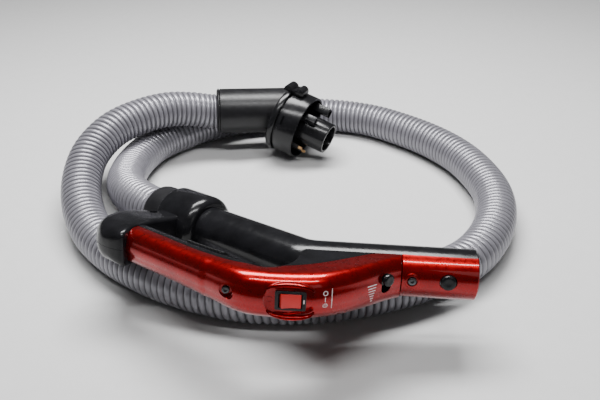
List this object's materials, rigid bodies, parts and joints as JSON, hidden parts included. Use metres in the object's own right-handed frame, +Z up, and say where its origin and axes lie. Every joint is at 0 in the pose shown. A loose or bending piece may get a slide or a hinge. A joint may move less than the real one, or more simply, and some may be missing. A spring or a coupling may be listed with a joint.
{
  "type": "vacuum hose with handle",
  "caption": "Coiled corrugated suction hose with a red D-grip handle carrying a rocker switch, and a swivelling latched machine-end connector with contact pins.",
  "frame": {"origin": "centre, at floor level, of the box round the handle and the machine-end connector", "axes": "+Z up off the floor, +X along the handle towards its wand socket, +Y from the handle to the connector"},
  "size_m": [0.5057, 0.5344, 0.1052],
  "materials": {
    "gloss_black": "glossy black, lightly scuffed",
    "red_shell": "deep metallic red under clear lacquer",
    "satin_black": "satin black moulding",
    "rubber_black": "matt rubber",
    "rocker_red": "matt red",
    "screw_steel": "dark zinc-plated steel",
    "pin_brass": "turned brass",
    "grey_block": "light grey nylon",
    "hose_grey": "satin silver-grey corrugated plastic"
  },
  "bodies": {
    "hose_and_handle": {"air_tube": "gloss_black", "front_cover": "red_shell", "wand_band": "red_shell", "grip_shell": "gloss_black", "grip_insert": "rubber_black", "bridge_upper": "gloss_black", "bridge_lower": "gloss_black", "swivel_housing": "gloss_black", "switch_frame": "satin_black", "rocker_pin": "screw_steel", "lever_pin": "screw_steel", "cover_screw": "screw_steel", "band_screw": "screw_steel", "bridge_screw": "screw_steel", "terminal_block": "grey_block", "switch_lead_upper": "rubber_black", "switch_lead_lower": "rubber_black", "connector_elbow": "satin_black", "sleeve_ring": "satin_black", "hose": "hose_grey"},
    "rocker": {"power_rocker": "rocker_red"},
    "suction_slider": {"suction_knob": "gloss_black", "bleed_shutter": "satin_black"},
    "wand_button": {"release_button": "gloss_black"},
    "wand_catch": {"wand_lever": "screw_steel"},
    "hose_swivel": {"hose_cuff": "satin_black", "cuff_seal": "rubber_black"},
    "machine_end": {"swivel_flange": "satin_black", "connector_drum": "satin_black", "nozzle": "satin_black", "key_block": "satin_black", "pin_guard": "satin_black", "latch_pin": "screw_steel", "pin_sleeve_1": "satin_black", "pin_sleeve_2": "satin_black", "pin_sleeve_3": "satin_black", "contact_pin_1": "pin_brass", "contact_pin_2": "pin_brass", "contact_pin_3": "pin_brass"},
    "latch": {"latch_lever": "satin_black"}
  },
  "joints": [
    {"name": "rocker_tilt", "type": "hinge", "parent": "hose_and_handle", "child": "rocker", "pos_m": [0.01186, -0.23233, 0.08777], "axis": [-0.0457, -0.2229, -0.9738], "range_deg": [0, 16]},
    {"name": "suction_slide", "type": "slide", "parent": "hose_and_handle", "child": "suction_slider", "axis": [0.0457, 0.2229, 0.9738], "range_m": [-0.0081, 0.0007]},
    {"name": "button_press", "type": "slide", "parent": "hose_and_handle", "child": "wand_button", "axis": [0.0432, 0.9734, -0.2248], "range_m": [0, 0.0014], "stiffness_N_per_m": 400, "springref_m": -0.001},
    {"name": "catch_lift", "type": "hinge", "parent": "hose_and_handle", "child": "wand_catch", "pos_m": [0.12958, -0.18317, 0.07099], "axis": [0.0457, 0.2229, 0.9738], "range_deg": [0, 8.2]},
    {"name": "hose_turn", "type": "hinge", "parent": "hose_and_handle", "child": "hose_swivel", "pos_m": [-0.10221, -0.05233, 0.05193], "axis": [-0.7519, 0.6495, -0.1133], "range_deg": [-170, 170]},
    {"name": "machine_end_turn", "type": "hinge", "parent": "hose_and_handle", "child": "machine_end", "pos_m": [0.003, 0.199, 0.0466], "axis": [0.8595, -0.4455, -0.2504], "range_deg": [-60, 60]},
    {"name": "latch_rock", "type": "hinge", "parent": "machine_end", "child": "latch", "pos_m": [0.01631, 0.1921, 0.08259], "axis": [-0.4602, -0.8878, 0], "range_deg": [0, 9], "stiffness_Nm_per_rad": 0.15, "springref_deg": -5.73}
  ],
  "couplings": [
    {"joint": "catch_lift", "follows": "button_press", "rad_per_m": 99.73}
  ]
}
